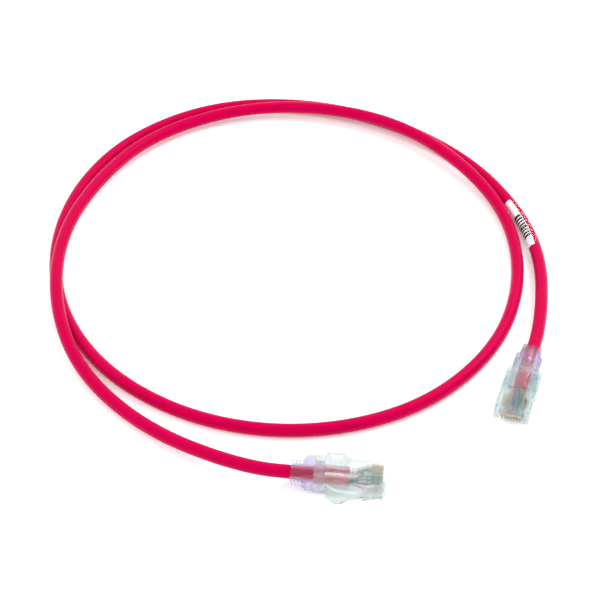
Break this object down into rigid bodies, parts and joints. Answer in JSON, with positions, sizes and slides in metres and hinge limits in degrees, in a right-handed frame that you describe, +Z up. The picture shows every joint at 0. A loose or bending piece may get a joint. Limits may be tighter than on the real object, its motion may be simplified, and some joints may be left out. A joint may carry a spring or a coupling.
{
  "type": "ethernet patch cable",
  "caption": "Red round patch cable laid in a loose loop, with a clear modular plug and tinted strain-relief boot on each end, and a wrap-round label.",
  "frame": {"origin": "on the table under the middle of plug A's body, on the side face that the plug rests on", "axes": "+X is the way plug A goes into its socket, +Z is up from the table, and +Y is the side of plug A's contacts"},
  "size_m": [0.1797, 0.2, 0.0138],
  "materials": {
    "jacket_red_pvc": "smooth extruded flexible PVC, satin gloss",
    "clear_polycarbonate": "clear moulded polycarbonate",
    "boot_tinted_pvc": "clear flexible PVC with a faint violet-blue tint",
    "load_bar_polycarbonate": "clear moulded polycarbonate",
    "contact_gold": "gold-plated phosphor bronze",
    "copper_wire": "bare copper",
    "separator_polyethylene": "translucent white polyethylene",
    "label_white_vinyl": "white printed vinyl",
    "label_clear_film": "clear laminating film",
    "insulation_orange": "polyethylene wire insulation",
    "insulation_blue": "polyethylene wire insulation",
    "insulation_green": "polyethylene wire insulation",
    "insulation_brown": "polyethylene wire insulation",
    "insulation_white_orange": "polyethylene wire insulation, white with a coloured stripe",
    "insulation_white_blue": "polyethylene wire insulation, white with a coloured stripe",
    "insulation_white_green": "polyethylene wire insulation, white with a coloured stripe",
    "insulation_white_brown": "polyethylene wire insulation, white with a coloured stripe"
  },
  "bodies": {
    "root": {"cable_jacket": "jacket_red_pvc", "pair_orange": "insulation_orange", "pair_blue": "insulation_blue", "pair_brown": "insulation_brown", "pair_green": "insulation_green", "pair_separator": "separator_polyethylene", "label_paper": "label_white_vinyl", "label_film": "label_clear_film", "plug_body_a": "clear_polycarbonate", "contacts_a": "contact_gold", "load_bar_a": "load_bar_polycarbonate", "boot_a": "boot_tinted_pvc", "copper_cores_a": "copper_wire", "wire_white_orange_a": "insulation_white_orange", "wire_orange_a": "insulation_orange", "wire_white_green_a": "insulation_white_green", "wire_blue_a": "insulation_blue", "wire_white_blue_a": "insulation_white_blue", "wire_green_a": "insulation_green", "wire_white_brown_a": "insulation_white_brown", "wire_brown_a": "insulation_brown", "plug_body_b": "clear_polycarbonate", "contacts_b": "contact_gold", "load_bar_b": "load_bar_polycarbonate", "boot_b": "boot_tinted_pvc", "copper_cores_b": "copper_wire", "wire_white_orange_b": "insulation_white_orange", "wire_orange_b": "insulation_orange", "wire_white_green_b": "insulation_white_green", "wire_blue_b": "insulation_blue", "wire_white_blue_b": "insulation_white_blue", "wire_green_b": "insulation_green", "wire_white_brown_b": "insulation_white_brown", "wire_brown_b": "insulation_brown"},
    "latch_a": {"latch_a": "clear_polycarbonate"},
    "latch_b": {"latch_b": "clear_polycarbonate"}
  },
  "joints": [
    {"name": "latch_a_press", "type": "hinge", "parent": "root", "child": "latch_a", "pos_m": [0.01065, -0.00355, 0.00584], "axis": [0, 0, 1], "range_deg": [-7, 0], "stiffness_Nm_per_rad": 0.6},
    {"name": "latch_b_press", "type": "hinge", "parent": "root", "child": "latch_b", "pos_m": [0.04955, 0.03303, 0.00855], "axis": [0.9789, -0.2045, 0], "range_deg": [-7, 0], "stiffness_Nm_per_rad": 0.6}
  ]
}
